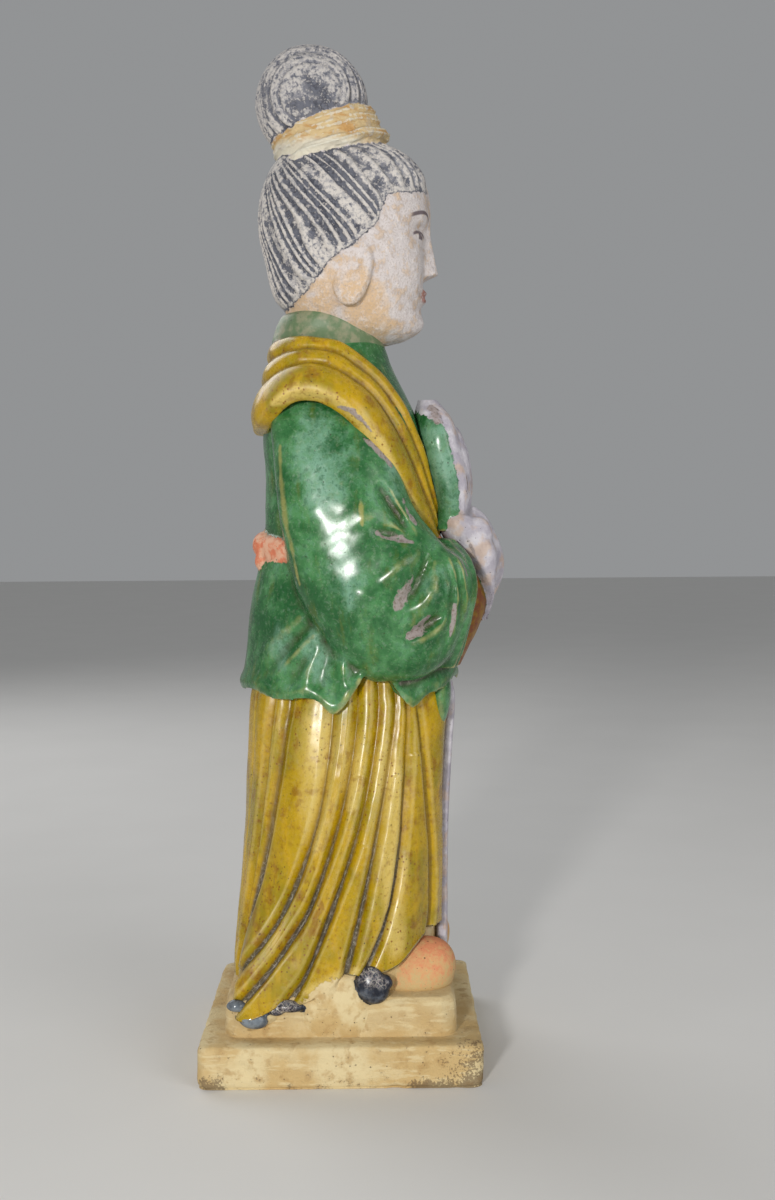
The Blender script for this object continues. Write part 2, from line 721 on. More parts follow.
def face_relief(x, height):
    """How far the features stand out of the face: a sum of bells of the distances from each."""
    away = np.abs(x)
    down = way(height, BROWS, NOSE)
    above = smooth_step(height, NOSE - 1.2, NOSE + 0.8)
    bridge = (0.7 + 3.5 * down**1.3) * bell(x, 1.7 + 1.1 * down) * above
    wings = 1.1 * bell(away - 2.5, 1.2) * bell(height - NOSE - 1.2, 1.5)
    socket = -1.3 * bell(away - EYE_SPACING, 4.2) * bell(height - EYES - 0.6, 2.6)
    eyeball = 1.1 * bell(away - EYE_SPACING, 2.9) * bell(height - EYES, 1.5)
    lid = -0.35 * bell(away - EYE_SPACING, 3) * bell(height - EYES - 1.9, 0.5)
    brow = 0.5 * bell(away - EYE_SPACING, 5) * bell(height - BROWS, 1.8)
    lips = 1.3 * bell(x, 4.2) * (bell(height - MOUTH - 1, 0.95) + bell(height - MOUTH + 1.1, 1))
    corners = -0.4 * bell(away - 4.6, 1) * bell(height - MOUTH, 1)
    cheeks = 0.9 * bell(away - 9.5, 4.5) * bell(height - NOSE + 0.5, 5)
    chin = 1.3 * bell(x, 5) * bell(height - CHIN - 3, 2.6)
    return bridge + wings + socket + eyeball + lid + brow + lips + corners + cheeks + chin


@ringed("skin", 420, 300)
def head(turn, t):
    """Head: superellipse sections, with the features added in front."""
    gathered = turn - 0.45 * np.sin(turn)
    height = mix(HEAD_SECTIONS[0][0], HEAD_TOP, t)
    half, front, back = stations(HEAD_SECTIONS, height)
    out, across = rounded_square(gathered, HEAD_POWER)
    x = -half * across
    relief = face_relief(x, height) * smooth_step(out, 0, 0.25)
    return x, (front + back) / 2 - (back - front) / 2 * out - relief, height


EAR_X, EAR_Y, EAR_HEIGHT, EAR_LEAN = 16.6, -4.6, 187.6, 0.14


@ringed("skin", 110, 110)
def ear(turn, t, side):
    """Ear: a flat lobe, thicker in front, with a hollow shell inside a raised rim."""
    reach, level = latitude(t)
    ahead = -reach**0.8 * np.sin(turn)
    outer = np.maximum(np.cos(turn), 0)
    shell = -1.3 * bell(ahead - 0.05, 0.34) * bell(level - 0.2, 0.42) * outer
    rim = 0.5 * bell(np.hypot(ahead, level) - 0.8, 0.14) * outer
    proud = (2.1 + 1.1 * ahead) * reach**0.7 * np.cos(turn)
    return (
        side * (EAR_X + proud + shell + rim),
        EAR_Y - EAR_LEAN * 8.8 * level - (5.4 + 0.6 * level) * ahead,
        EAR_HEIGHT + 8.9 * level,
    )


HAIR_STRANDS, STRAND_COLUMNS = 46, 14
HAIR_EDGE = 0.985  # where its edge starts to turn in to the skin
HAIR_TILT = math.radians(38)
# Angle from the front about the leaning axis, and how far down from it the hair ends, in degrees
HAIRLINE = [
    [0, 101], [12, 100.8], [32, 97], [42, 92.4], [48, 92.4], [54, 96], [63, 102.8],
    [77, 105.2], [92, 105.4], [110, 103.5], [127, 106], [145, 107], [180, 103],
]


HEAD_REACHES, HALVINGS = (5.0, 40.0), 16


def head_reach(direction):
    """Distance from the head's centre to its surface along each direction, by halving."""
    low, high = (np.full(direction.shape[:-1], reach) for reach in HEAD_REACHES)
    for _ in range(HALVINGS):
        middle = (low + high) / 2
        height = HEAD_CENTRE[2] + direction[..., 2] * middle
        half, front, back = stations(HEAD_SECTIONS, height)
        x = direction[..., 0] * middle / half
        y = (direction[..., 1] * middle + HEAD_CENTRE[1] - (front + back) / 2) / ((back - front) / 2)
        inside = (np.abs(x) ** HEAD_POWER + np.abs(y) ** HEAD_POWER < 1) & (height < HEAD_TOP)
        inside &= height > HEAD_SECTIONS[0][0]
        low, high = np.where(inside, middle, low), np.where(inside, high, middle)
    return low


@ringed("hair", HAIR_STRANDS * STRAND_COLUMNS, 200)
def hair(turn, t):
    """Cap over the head from the tie to the hairline. Thin combed ridges run down it as meridians of
    an axis that leans back; between them are wider grooves."""
    (end,) = stations(HAIRLINE, from_front(turn))
    down = np.radians(mix(8, end, t))
    x, y, z = -np.sin(down) * np.sin(turn), -np.sin(down) * np.cos(turn), np.cos(down)
    direction = stacked(*tilted(x, y, z, HAIR_TILT))
    wander = 0.3 * np.sin(11 * turn + 1) + 0.16 * np.sin(17 * turn + 4 + 3 * t)
    wander = wander + 0.2 * np.sin(8 * t + 5 * turn)
    strand = turn / FULL_TURN * HAIR_STRANDS + wander
    comb = bell(np.abs(strand % 1 - 0.5), 0.3 + 0.06 * np.sin(7 * turn + 6 * t))
    uneven = 0.85 + 0.3 * ripple(direction * 20, 7, 11)
    depth = uneven * smooth_step(t, 0, 0.3) * (1 - smooth_step(t, 0.9, HAIR_EDGE))
    thickness = mix(1.25, 0.35, smooth_step(t, 0.88, HAIR_EDGE)) + (comb - 1) * depth
    turned_in = mix(thickness, -0.6, (t - HAIR_EDGE) / (1 - HAIR_EDGE))
    lift = np.where(t > HAIR_EDGE, turned_in, thickness)
    point = direction * (head_reach(direction) + lift)[..., None] + HEAD_CENTRE
    return tuple(np.moveaxis(point, -1, 0))


TIE_TILT = math.radians(18.5)
TIE_CENTRE = np.array([0, 2.2, 225])
# Bottom, top and reach of each roll
TIE_ROLLS = [[-5.6, -2.2, 15.4], [-2, -0.9, 13.9], [-0.9, 2, 14.2], [2, 4.2, 13.9]]
TIE_WAIST, TIE_FOOT, TIE_TOP = 13.2, -12, 5


@ringed("tie", 260, 180)
def tie(turn, t):
    """Ribbon round the foot of the bun: rolls of half an ellipse carried round an oval, leaning
    back."""
    level = mix(TIE_FOOT, TIE_TOP, t)
    wave = 0.25 * np.sin(6 * turn) + 0.2 * np.sin(11 * turn + 1)
    radius = TIE_WAIST + 0 * level
    for bottom, top, reach in TIE_ROLLS:
        inside = way(level + wave, bottom, top)
        radius = radius + (reach - TIE_WAIST) * (4 * inside * (1 - inside)) ** 0.45
    radius = radius + 0.2 * np.sin(4.4 * level + 2.4 * np.sin(2 * turn) + 1.2 * np.sin(5 * turn))
    radius = radius - 1.2 * smooth_step(level, 3.8, TIE_TOP)
    x, y, z = tilted(-radius * np.sin(turn), -radius * 1.06 * np.cos(turn), level, TIE_TILT)
    return x + TIE_CENTRE[0], y + TIE_CENTRE[1], z + TIE_CENTRE[2]


BUN_CENTRE = np.array([0, 6.4, 234.6])
BUN_RADIUS, BUN_HALF_WIDTH = 15.1, 14
BUN_GROOVE_SPACING = 3.4


@ringed("hair", 260, 260)
def bun(turn, t):
    """Coil of hair wound about the left-right axis: a round disc. Its rim has grooves round it, and
    each flat side has rings about its middle."""
    lean = np.radians(mix(-88, 88, t))
    side, fullness = BUN_HALF_WIDTH * np.sin(lean), np.cos(lean) ** 0.75
    ahead = (1 - np.sin(turn)) / 2
    comb = bell(np.abs(side / BUN_GROOVE_SPACING % 1 - 0.5) - 0.5, 0.16)
    groove = mix(0.5, 1.15, smooth_step(ahead, 0.3, 0.9)) * comb * (np.abs(side) < 11.5)
    fine = 0.16 * np.sin(side * 5.2 + 1.5 * np.sin(turn)) * (1 - comb)
    reach = BUN_RADIUS * fullness
    from_middle = reach + 0.4 * np.sin(2 * turn + 1)
    rings = 0.6 * bell(from_middle - 11, 0.55) + 0.45 * bell(from_middle - 8, 0.45)
    rings = rings - 0.14 * np.sin(from_middle * 4.6) * smooth_step(from_middle, 8, 10)
    out = reach - groove - fine * (fullness > 0.6)
    return (
        BUN_CENTRE[0] + side - np.sign(side) * rings * (fullness < 0.93),
        BUN_CENTRE[1] + out * np.sin(turn),
        BUN_CENTRE[2] + out * np.cos(turn),
    )


def head_forms():
    return [
        section_form("skin", 120, 60, NECK_SECTIONS, 2),
        head(),
        ear(-1),
        ear(1),
        hair(),
        tie(),
        bun(),
    ]


# ------------------------------------------------------------------ meshes


def grid_faces(rows, columns, start, is_loop):
    """Corners of the four-sided faces between neighbouring rows and columns of a grid."""
    row = np.arange(rows if is_loop else rows - 1)[:, None]
    column = np.arange(columns)[None, :]
    ahead, along = (row + 1) % rows, (column + 1) % columns
    near, far = row * columns, ahead * columns
    corners = [near + column, near + along, far + along, far + column]
    return start + np.stack(corners, -1).reshape(-1, 4)


def laid(name, forms):
    """Object of the forms' own grids, in metres. Each zone becomes a point attribute that is 1 on
    the forms of that zone."""
    zones = sorted({zone for form in forms for zone in form.zones})
    points, faces, start = [], [], 0
    weights = {zone: [] for zone in zones}
    for form in forms:
        rows, columns, _ = form.grid.shape
        points.append(form.grid.reshape(-1, 3))
        faces.append(grid_faces(rows, columns, start, form.is_loop))
        start += rows * columns
        for zone in zones:
            share = np.broadcast_to(form.zones.get(zone, 0.0), (rows, columns))
            weights[zone].append(share.ravel())
    points = (np.concatenate(points) + [0, 0, STEP_TOP]) * MM
    piece = mesh_object(name, points, np.concatenate(faces))
    for zone in zones:
        write_attribute(piece.data, zone, np.concatenate(weights[zone]))
    return piece


def fused(name, forms, voxel):
    """Object of all forms fused by a voxel remesh, whose points are then drawn back onto the forms,
    each time after a little smoothing."""
    piece = laid(name, forms)
    guide = linked("guide", piece.data.copy())
    piece.data.remesh_voxel_size = voxel
    piece.data.use_remesh_fix_poles = False
    piece.data.use_remesh_preserve_attributes = True
    bpy.ops.object.select_all(action="DESELECT")
    bpy.context.view_layer.objects.active = piece
    piece.select_set(True)
    bpy.ops.object.voxel_remesh()
    for method in ("NEAREST_SURFACEPOINT", "NEAREST_SURFACEPOINT", "TARGET_PROJECT"):
        relaxed = Surface(piece)
        relaxed.points = relaxed.blurred(relaxed.points, 2)
        relaxed.write()
        wrap = piece.modifiers.new("onto_forms", "SHRINKWRAP")
        wrap.target, wrap.wrap_method = guide, method
        bpy.ops.object.modifier_apply(modifier=wrap.name)
    bpy.data.objects.remove(guide)
    return piece


def close_ends(piece):
    """Merges the points of each end ring, so that the grid is closed, and turns its faces
    outwards."""
    shell = bmesh.new()
    shell.from_mesh(piece.data)
    bmesh.ops.remove_doubles(shell, verts=shell.verts, dist=1e-7)
    bmesh.ops.recalc_face_normals(shell, faces=shell.faces)
    shell.to_mesh(piece.data)
    shell.free()


def linked(name, data):
    """New object with this data, in the scene."""
    holder = bpy.data.objects.new(name, data)
    bpy.context.scene.collection.objects.link(holder)
    return holder


def mesh_object(name, points, faces):
    """New object of four-sided faces, linked to the scene."""
    mesh = bpy.data.meshes.new(name)
    mesh.vertices.add(len(points))
    mesh.vertices.foreach_set("co", points.astype(np.float32).ravel())
    mesh.loops.add(faces.size)
    mesh.loops.foreach_set("vertex_index", faces.astype(np.int32).ravel())
    mesh.polygons.add(len(faces))
    mesh.polygons.foreach_set("loop_start", np.arange(0, faces.size, faces.shape[1], dtype=np.int32))
    mesh.update()
    return linked(name, mesh)


def write_attribute(mesh, name, values):
    """Puts one number for each point into a point attribute."""
    attribute = mesh.attributes.get(name) or mesh.attributes.new(name, "FLOAT", "POINT")
    attribute.data.foreach_set("value", np.asarray(values, np.float32))


SMOOTH_IN, SMOOTH_OUT = 0.5, -0.53
NARROW_PASSES, BROAD_PASSES = 6, 60
NARROW_DEPTH, BROAD_DEPTH = 0.11, 0.6  # depths that count as 1, in parts


def values_of(items, name, width, kind=np.float32):
    """One property of all items of a mesh, a row for each."""
    values = np.empty(len(items) * width, kind)
    items.foreach_get(name, values)
    return values.reshape(-1, width)


class Surface:
    """A piece's points in parts, with averages over the neighbours along its edges."""

    def __init__(self, piece):
        self.mesh = piece.data
        metres = values_of(self.mesh.vertices, "co", 3).astype(float)
        self.points = metres / MM - [0, 0, STEP_TOP]
        ends = values_of(self.mesh.edges, "vertices", 2, np.int32)
        self.start, self.end = ends.T
        self.valence = np.bincount(ends.ravel(), minlength=len(metres))

    def attribute(self, name):
        return values_of(self.mesh.attributes[name].data, "value", 1)[:, 0].astype(float)

    def neighbour_mean(self, values):
        """Mean of the neighbours' values at each point; values may have several columns."""
        columns = values.reshape(len(values), -1)
        total = [
            np.bincount(self.start, column[self.end], len(values))
            + np.bincount(self.end, column[self.start], len(values))
            for column in columns.T
        ]
        return (np.stack(total, -1) / self.valence[:, None]).reshape(values.shape)

    def blurred(self, values, passes, share=0.5):
        """Values moved towards their neighbours' mean a number of times."""
        for _ in range(passes):
            values = values + share * (self.neighbour_mean(values) - values)
        return values

    def smooth(self, passes):
        """Smooths the points without shrinking them: a step in, then a slightly longer step out."""
        for _ in range(passes):
            self.points = self.blurred(self.blurred(self.points, 1, SMOOTH_IN), 1, SMOOTH_OUT)
        self.write()

    def write(self):
        metres = (self.points + [0, 0, STEP_TOP]) * MM
        self.mesh.vertices.foreach_set("co", metres.astype(np.float32).ravel())
        self.mesh.update()

    def normals(self):
        """Outward direction at each point."""
        return values_of(self.mesh.vertex_normals, "vector", 3).astype(float)

    def move_out(self, distance):
        """Moves each point along its outward direction, in parts."""
        self.points = self.points + self.normals() * distance[:, None]
        self.write()

    def mark_hollows(self):
        """Attributes that are above 0 in grooves and below 0 on ridges: how far the blurred surface
        lies outside the real one, for narrow and for broad forms."""
        normals = self.normals()
        near = self.blurred(self.points, NARROW_PASSES)
        far = self.blurred(self.points, BROAD_PASSES)
        if "narrow_hollow" not in self.mesh.attributes:
            narrow = self.blurred(((near - self.points) * normals).sum(1), 2)
            write_attribute(self.mesh, "narrow_hollow", narrow / NARROW_DEPTH)
        broad = ((far - self.points) * normals).sum(1)
        write_attribute(self.mesh, "broad_hollow", broad / BROAD_DEPTH)


# ------------------------------------------------------------------ plinth

SLAB_HALF, STEP_HALF_X, STEP_HALF_Y = 36.75, 29.5, 30.5
SLAB_CORNER, STEP_CORNER = 3, 5
PLINTH_ROWS, PLINTH_COLUMNS = 120, 400

# Profile from the middle of the underside to the middle of the top: share of the way, how much it
# follows the slab and not the step, inset from that outline, height
PLINTH_PROFILE = [
    [0, 1, 36.75, 0],
    [0.06, 1, 3, 0],
    [0.1, 1, 0.7, 0.25],
    [0.14, 1, 0.05, 1.6],
    [0.34, 1, 0, 9.3],
    [0.39, 1, 0.5, 10.8],
    [0.44, 1, 2.2, 11.2],
    [0.54, 0, 0.1, 11.2],
    [0.58, 0, 0, 12.2],
    [0.76, 0, 0.2, 18.4],
    [0.81, 0, 0.9, 20.4],
    [0.86, 0, 3.2, 21.2],
    [1, 0, 29.5, 21.2],
]


def rounded_outline(half_x, half_y, radius, count):
    """Points spaced evenly round a rectangle with round corners, from the middle of its front by the
    right side: a corner's circle goes round an inner rectangle, and turns by a quarter at each of
    its corners."""
    in_x, in_y, arc = half_x - radius, half_y - radius, np.pi / 2 * radius
    ends = np.cumsum([0, in_x, arc, 2 * in_y, arc, 2 * in_x, arc, 2 * in_y, arc, in_x])
    place = np.arange(count) / count * ends[-1]
    angle = -np.pi / 2 * np.interp(place, ends, [1, 1, 2, 2, 3, 3, 4, 4, 5, 5])
    x = in_x * np.interp(place, ends, [0, -1, -1, -1, -1, 1, 1, 1, 1, 0])
    y = in_y * np.interp(place, ends, [-1, -1, -1, 1, 1, 1, 1, -1, -1, -1])
    return np.stack([x + radius * np.cos(angle), y + radius * np.sin(angle)], 1)


def plinth_grid(rows, columns):
    """Two steps as one surface: the profile is carried round both outlines at once."""
    follows, inset, height = stations(PLINTH_PROFILE, np.linspace(0, 1, rows)[:, None, None])
    slab = rounded_outline(SLAB_HALF, SLAB_HALF, SLAB_CORNER, columns)
    step = rounded_outline(STEP_HALF_X, STEP_HALF_Y, STEP_CORNER, columns)
    follows = np.clip(follows, 0, 1)
    outline = mix(step, slab, follows)
    reach = mix(np.array([STEP_HALF_X, STEP_HALF_Y]), SLAB_HALF, follows)
    flat = outline * (1 - np.clip(inset / reach, 0, 1))
    return np.concatenate([flat, np.broadcast_to(height, (rows, columns, 1))], -1)


def plinth(name):
    """Plinth with worn edges: its surface is worn in by soft unevenness, most at its edges."""
    points = plinth_grid(PLINTH_ROWS, PLINTH_COLUMNS).reshape(-1, 3)
    middle_out = np.linalg.norm(points[:, :2], axis=1)
    wear = 0.16 * (1 + ripple(points, 16, 3)) + 0.12 * (1 + ripple(points, 4.5, 4))
    wear = np.maximum(wear, 0) + 0.9 * np.clip(ripple(points, 8, 5) - 0.35, 0, 1)
    upright = smooth_step(points[:, 2], 0.2, 2)
    inwards = points * [1, 1, 0] / np.maximum(middle_out, 1)[:, None]
    points = points - inwards * (wear * smooth_step(middle_out, 20, 29))[:, None]
    points[:, 2] -= (0.2 * (1 + ripple(points, 13, 6)) * upright) * smooth_step(middle_out, 12, 28)
    points[:, 2] = np.maximum(points[:, 2], 0)
    piece = mesh_object(name, points * MM, grid_faces(PLINTH_ROWS, PLINTH_COLUMNS, 0, False))
    close_ends(piece)
    return piece


# --------------------------------------------------------------- materials

NOISE_ROUGHNESS, GLAZE_IOR = 0.58, 1.45


def srgb(red, green, blue):
    """Linear colour of a screen colour given from 0 to 255."""
    screen = np.array([red, green, blue]) / 255
    return (*np.where(screen <= 0.04045, screen / 12.92, ((screen + 0.055) / 1.055) ** 2.4), 1.0)


class Value:
    """A socket of a finish, so that sums and products of values add their Math nodes."""

    def __init__(self, finish, socket):
        self.finish, self.socket = finish, socket

    def _math(self, operation, *values):
        return self.finish.node("ShaderNodeMath", {"operation": operation}, dict(enumerate(values)))

    def __add__(self, other):
        return self._math("ADD", self, other)

    def __sub__(self, other):
        return self._math("SUBTRACT", self, other)

    def __rsub__(self, other):
        return self._math("SUBTRACT", other, self)

    def __mul__(self, other):
        return self._math("MULTIPLY", self, other)

    def __neg__(self):
        return self * -1.0

    def __abs__(self):
        return self._math("ABSOLUTE", self)

    __radd__, __rmul__ = __add__, __mul__

    def clamped(self):
        return self._math("MINIMUM", self._math("MAXIMUM", self, 0.0), 1.0)

    def most(self, *others):
        value = self
        for other in others:
            value = self._math("MAXIMUM", value, other)
        return value

    def between(self, low, high):
        """0 at low, 1 at high and beyond, with a smooth step between; low may be the larger."""
        inputs = {"Value": self, "From Min": low, "From Max": high}
        return self.finish.node("ShaderNodeMapRange", {"interpolation_type": "SMOOTHSTEP"}, inputs)


class Finish:
    """Node tree of one material, on Object coordinates in millimetres. Colours go by their names."""

    def __init__(self, name, colours=None):
        self.colours = colours
        self.material = bpy.data.materials.new(name)
        self.material.use_nodes = True
        self.tree = self.material.node_tree
        self.tree.nodes.clear()
        coordinates = self.node("ShaderNodeTexCoord", output="Object")
        self.place = self.vector("SCALE", {"Vector": coordinates, "Scale": 1 / MM})

    def node(self, kind, settings=None, inputs=None, output=0):
        node = self.tree.nodes.new(kind)
        for name, value in (settings or {}).items():
            setattr(node, name, value)
        for name, value in (inputs or {}).items():
            if isinstance(value, Value):
                self.tree.links.new(value.socket, node.inputs[name])
            else:
                node.inputs[name].default_value = value
        return Value(self, node.outputs[output]) if len(node.outputs) else None

    def vector(self, operation, inputs):
        return self.node("ShaderNodeVectorMath", {"operation": operation}, inputs)

    def attribute(self, name):
        return self.node("ShaderNodeAttribute", {"attribute_name": name}, output="Fac")

    def parts(self):
        """X, y and height of the place, in millimetres."""
        node = self.node("ShaderNodeSeparateXYZ", None, {"Vector": self.place}).socket.node
        return [Value(self, socket) for socket in node.outputs]

    def stretched(self, x, y, z):
        """The place with each of its axes scaled, so that a pattern is drawn out along one."""
        return self.vector("MULTIPLY", {0: self.place, 1: (x, y, z)})

    def noise(self, size, detail=3.0, place=None):
        """Cloudy pattern from about 0.3 to 0.7, with clouds of a size in millimetres."""
        inputs = {"Vector": place or self.place, "Scale": 1 / size, "Detail": detail}
        return self.node("ShaderNodeTexNoise", None, {**inputs, "Roughness": NOISE_ROUGHNESS})

    def wobbly(self, size, reach):
        """The place pushed about by up to a reach, in clouds of a size, in millimetres."""
        inputs = {"Vector": self.place, "Scale": 1 / size, "Detail": 1.0}
        push = self.node("ShaderNodeTexNoise", None, inputs, output="Color")
        return self.vector("MULTIPLY_ADD", {0: push, 1: (reach, reach, reach), 2: self.place})

    def cells(self, place, spacing, settings=None):
        return self.node("ShaderNodeTexVoronoi", settings, {"Vector": place, "Scale": 1 / spacing})

    def spots(self, spacing, radius):
        """1 inside small spots of a radius, about one in each cell of a spacing, in millimetres."""
        distance = self.cells(self.wobbly(radius * 2, radius), spacing)
        return distance.between(radius / spacing, radius / spacing * 0.6)

    def crazing(self, size):
        """1 along fine cracks that part a glaze into cells of a size in millimetres."""
        edge = self.cells(self.wobbly(size * 1.5, size), size, {"feature": "DISTANCE_TO_EDGE"})
        return edge.between(0.04, 0.01)

    def tint(self, colour):
        return getattr(self.colours, colour) if isinstance(colour, str) else colour

    def coats(self, colour, *coats):
        """Colour under coats laid on in turn: each has its colour and its share, from 0 to 1."""
        colour = self.tint(colour)
        for over, share in coats:
            inputs = {0: share, 6: colour, 7: self.tint(over)}
            colour = self.node("ShaderNodeMix", {"data_type": "RGBA"}, inputs, output=2)
        return colour

    def shader(self, colour, roughness, height, bump_depth):
        """Principled surface with a bump, whose height is from 0 to 1 of a depth in millimetres."""
        inputs = {"Height": height, "Distance": bump_depth * MM, "Strength": 1.0}
        normal = self.node("ShaderNodeBump", None, inputs)
        inputs = {"Base Color": colour, "Roughness": roughness, "Normal": normal, "IOR": GLAZE_IOR}
        surface = self.node("ShaderNodeBsdfPrincipled", None, inputs)
        self.node("ShaderNodeOutputMaterial", None, {"Surface": surface})
        return self.material


def zone_share(finish, zone, ragged, raggedness=1.0):
    """1 inside a zone and 0 outside it, with a ragged border that a cloudy pattern pushes about."""
    return (finish.attribute(zone) + (ragged - 0.5) * raggedness).between(0.44, 0.56)


def green_glaze(finish):
    """Mottled copper green: deep where it pooled, pale blue-green where thin, olive in runs."""
    noise = finish.noise
    cloud, patch, grain, fine = noise(16, 4), noise(5, 5), noise(1.4, 5), noise(0.7, 3)
    runs = noise(3.6, 4, finish.stretched(1, 1, 0.22))
    middle = (patch - 0.5) * 1.4 + (cloud - 0.5) * 1.8 + (fine - 0.5) * 0.9 + 0.5
    thin = finish.attribute("thin") * 0.85 + (cloud - 0.5) * 1.4
    thin = thin + (patch - 0.5) * 2.2 + (grain - 0.5) * 1.8
    olive_run = (finish.attribute("olive") + (patch - 0.5) * 1.2).between(0.25, 0.7)
    return finish.coats(
        "green_deep",
        ("green_middle", middle.between(0.1, 0.9)),
        ("olive", runs.between(0.52, 0.72) * 0.5),
        ("green_pale", thin.between(0.05, 1.2)),
        ("green_deep", grain.between(0.5, 0.66) * 0.6),
        ("green_milky", grain.between(0.44, 0.3) * 0.25),
        ("olive_pale", olive_run * 0.7),
    )


def amber_glaze(finish):
    """Amber: brown where it is thick, straw where thin, with upright runs and olive clouds."""
    noise = finish.noise
    cloud, patch, grain = noise(14, 4), noise(4, 5), noise(1.2, 4)
    runs = noise(3.6, 4, finish.stretched(1, 1, 0.2))
    stippled = finish.attribute("stipple").between(0.0, 0.8)
    thin = finish.attribute("thin") * 1.3 + (cloud - 0.5) * 1.2
    thin = thin + (runs - 0.5) * 0.8 + (grain - 0.5) * 0.5
    run = (finish.attribute("olive") + (runs - 0.5) * 1.8).between(0.3, 1.0)
    stipple = finish.spots(1.4, 0.34) * (cloud + stippled * 0.5).between(0.47, 0.62)
    return finish.coats(
        "amber",
        ("amber_olive", (cloud + stippled * 0.14).between(0.42, 0.62) * 0.8),
        ("amber_deep", patch.between(0.46, 0.72) * 0.45),
        ("amber_bright", runs.between(0.44, 0.7) * 0.5),
        ("straw", thin.between(0.12, 1.05) * 0.9),
        ("olive", run * 0.6),
        ("rust", stipple * 0.85),
        ("rust", (patch + stippled * 0.06).between(0.56, 0.68) * 0.4),
        ("amber_deep", grain.between(0.52, 0.7) * 0.5),
    )


def drop_glaze(finish, patch):
    """Blue-black glass with blue-grey clouds, crazed in places, and milky where it is thin."""
    thin = (finish.attribute("thin") + (patch - 0.5) * 1.4).between(0.0, 0.9)
    crazed = (finish.attribute("stipple") + (patch - 0.5) * 1.2).between(0.1, 0.7)
    return finish.coats(
        "drop",
        ("drop_pale", patch.between(0.42, 0.7) * 0.6),
        ("drop_milky", thin * 0.75),
        ("bare", crazed * finish.noise(0.5, 4).between(0.42, 0.6) * 0.6),
        ("dust", finish.crazing(1.5) * crazed * 0.8),
    )


def shoe_paint(finish, patch):
    """Coral near the top of the toe, worn to peach and then to the clay at its foot."""
    _, _, z = finish.parts()
    mottled = z + (patch - 0.5) * 30 + (finish.noise(0.8, 4) - 0.5) * 18
    coral = mottled.between(26.0, 34.0) * 0.65
    return finish.coats("clay", ("peach", mottled.between(21.0, 27.0)), ("coral", coral))


def glaze_layers(finish, zones):
    """Colour and roughness of each zone that is asked for."""
    noise = finish.noise
    patch = noise(2.6, 5)

    def worn(base, other, low, high):
        return finish.coats(base, (other, patch.between(low, high)))

    def slip():
        shade, stain = noise(4, 6).between(0.32, 0.62) * 0.8, noise(6, 6).between(0.5, 0.64) * 0.4
        return finish.coats("slip", ("slip_shade", shade), ("stain", stain))

    def clay():
        pale, dark = noise(9, 5).between(0.4, 0.58), patch.between(0.5, 0.66) * 0.5
        return finish.coats("clay", ("clay_pale", pale), ("clay_dark", dark))

    layers = {
        "green": (0.24, lambda: green_glaze(finish)),
        "amber": (0.27, lambda: amber_glaze(finish)),
        "drop": (0.12, lambda: drop_glaze(finish, patch)),
        "dusty": (0.42, lambda: worn("dusty", "dusty_pale", 0.44, 0.64)),
        "russet": (0.45, lambda: worn("russet", "amber_deep", 0.42, 0.6)),
        "coral": (0.72, lambda: worn("coral", "coral_worn", 0.38, 0.56)),
        "shoe": (0.75, lambda: shoe_paint(finish, patch)),
        "slip": (0.75, slip),
        "clay": (0.85, clay),
    }
    return [(layers[zone][1](), layers[zone][0]) for zone in zones]


